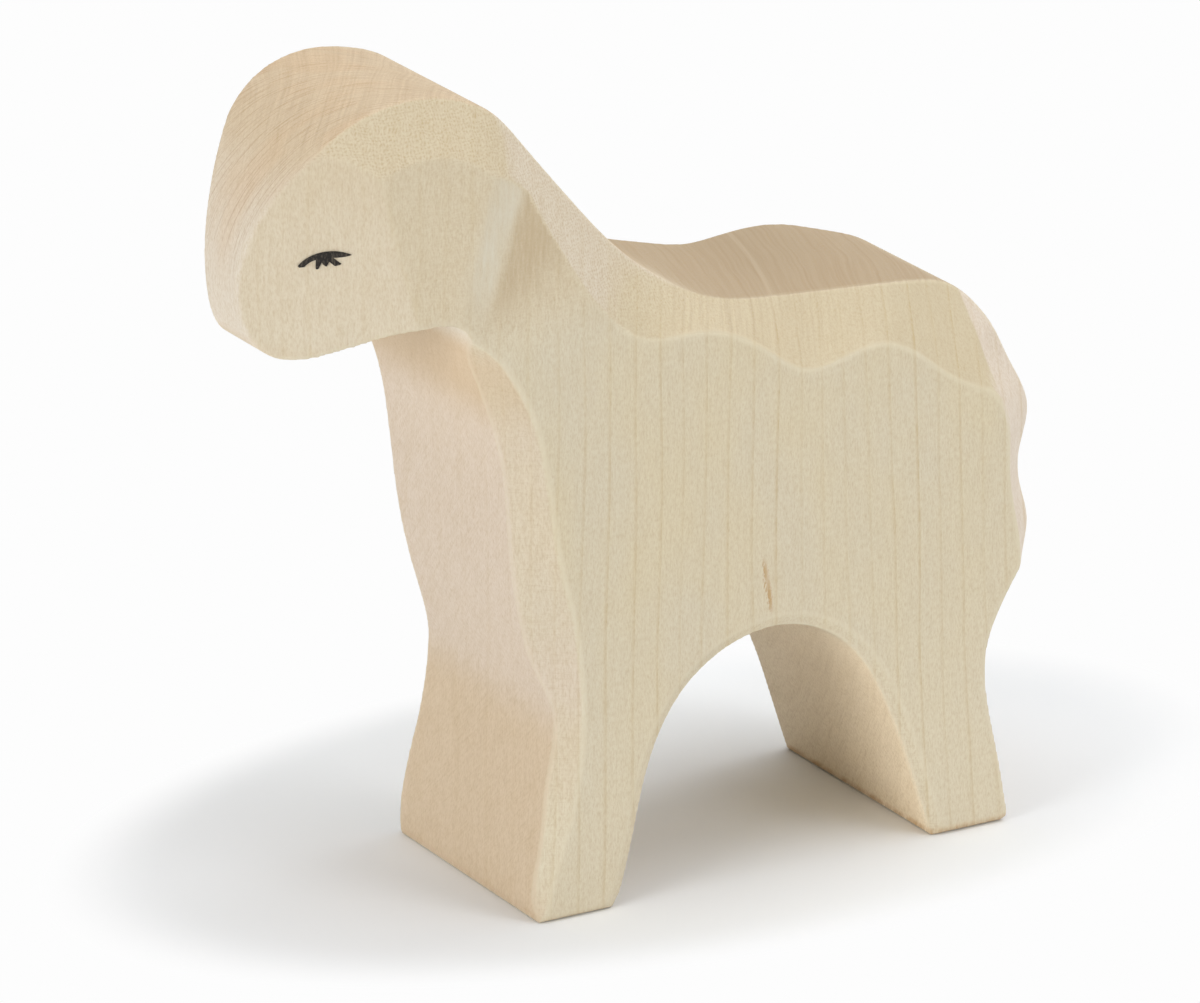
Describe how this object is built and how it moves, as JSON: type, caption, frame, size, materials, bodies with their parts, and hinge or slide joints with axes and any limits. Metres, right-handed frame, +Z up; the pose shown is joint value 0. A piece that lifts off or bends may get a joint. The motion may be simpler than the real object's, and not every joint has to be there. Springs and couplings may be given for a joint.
{
  "type": "carved wooden sheep figurine",
  "caption": "Standing sheep figurine sawn from a maple board, with knife-carved bevels, tapered cheeks, a hollowed neck and painted closed eyes; stands on its flat soles.",
  "frame": {"origin": "on the ground, under the middle of the figurine's bounding box", "axes": "+X from the nose to the tail, +Y through the board's thickness from the sheep's left face to its right face, +Z up from the soles"},
  "size_m": [0.1008, 0.034, 0.1005],
  "materials": {
    "maple": "bare, finely sanded",
    "eye_paint": "matte brushed paint"
  },
  "bodies": {
    "root": {"carved_body": "maple", "left_eye": "eye_paint", "right_eye": "eye_paint"}
  },
  "joints": []
}
